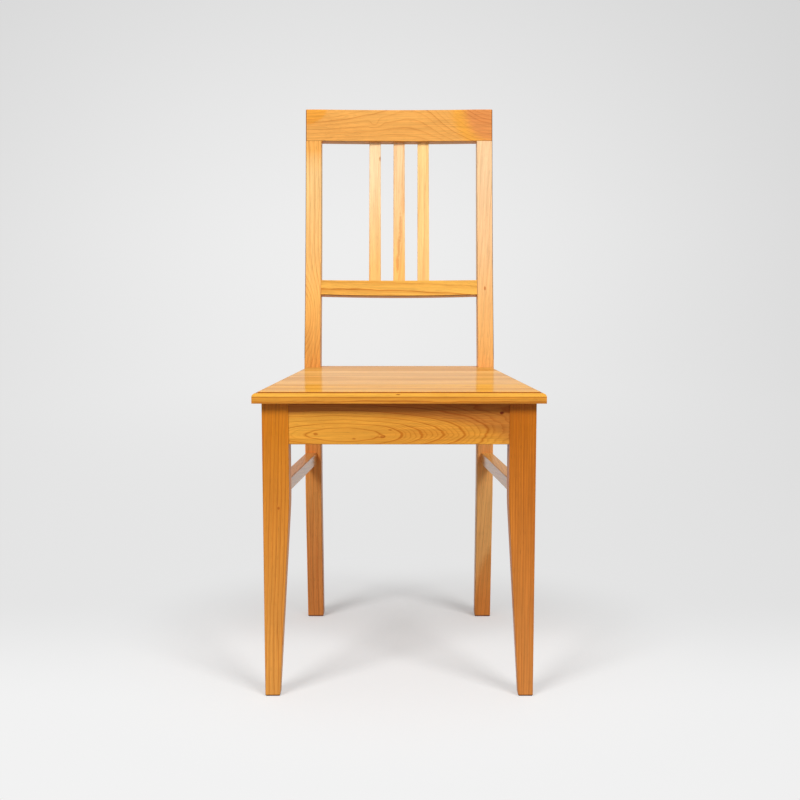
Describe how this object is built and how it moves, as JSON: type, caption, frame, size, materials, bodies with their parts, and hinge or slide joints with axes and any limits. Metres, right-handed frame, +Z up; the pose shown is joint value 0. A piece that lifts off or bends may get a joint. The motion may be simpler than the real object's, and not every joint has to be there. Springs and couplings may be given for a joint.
{
  "type": "wooden side chair",
  "caption": "Wooden side chair with a swept slatted back, a moulded plank seat, tapered front legs, raked rear legs and side stretchers, for sitting at a table.",
  "frame": {"origin": "on the floor, under the middle of the chair's bounding box", "axes": "+Z up, -Y towards the front of the chair, +X to the right as seen from the front"},
  "size_m": [0.427, 0.5, 0.9128],
  "materials": {
    "frame_wood": "satin varnish",
    "back_wood": "satin varnish",
    "seat_wood": "semi-gloss varnish",
    "block_wood": "bare",
    "dowel_wood": "bare",
    "screw_steel": "zinc plated"
  },
  "bodies": {
    "root": {"front_leg_left": "frame_wood", "front_leg_right": "frame_wood", "rear_post_left": "frame_wood", "rear_post_right": "frame_wood", "front_apron": "frame_wood", "rear_apron": "frame_wood", "side_apron_left": "frame_wood", "side_apron_right": "frame_wood", "side_stretcher_left": "frame_wood", "side_stretcher_right": "frame_wood", "crest_rail": "back_wood", "lower_back_rail": "back_wood", "back_slat_left": "back_wood", "back_slat_centre": "back_wood", "back_slat_right": "back_wood", "seat_board_front": "seat_wood", "seat_board_front_middle": "seat_wood", "seat_board_rear_middle": "seat_wood", "seat_board_rear": "seat_wood", "corner_block_front_left": "block_wood", "corner_block_front_right": "block_wood", "corner_block_rear_left": "block_wood", "corner_block_rear_right": "block_wood", "crest_dowels": "dowel_wood", "corner_block_screws": "screw_steel", "seat_screws": "screw_steel"}
  },
  "joints": []
}
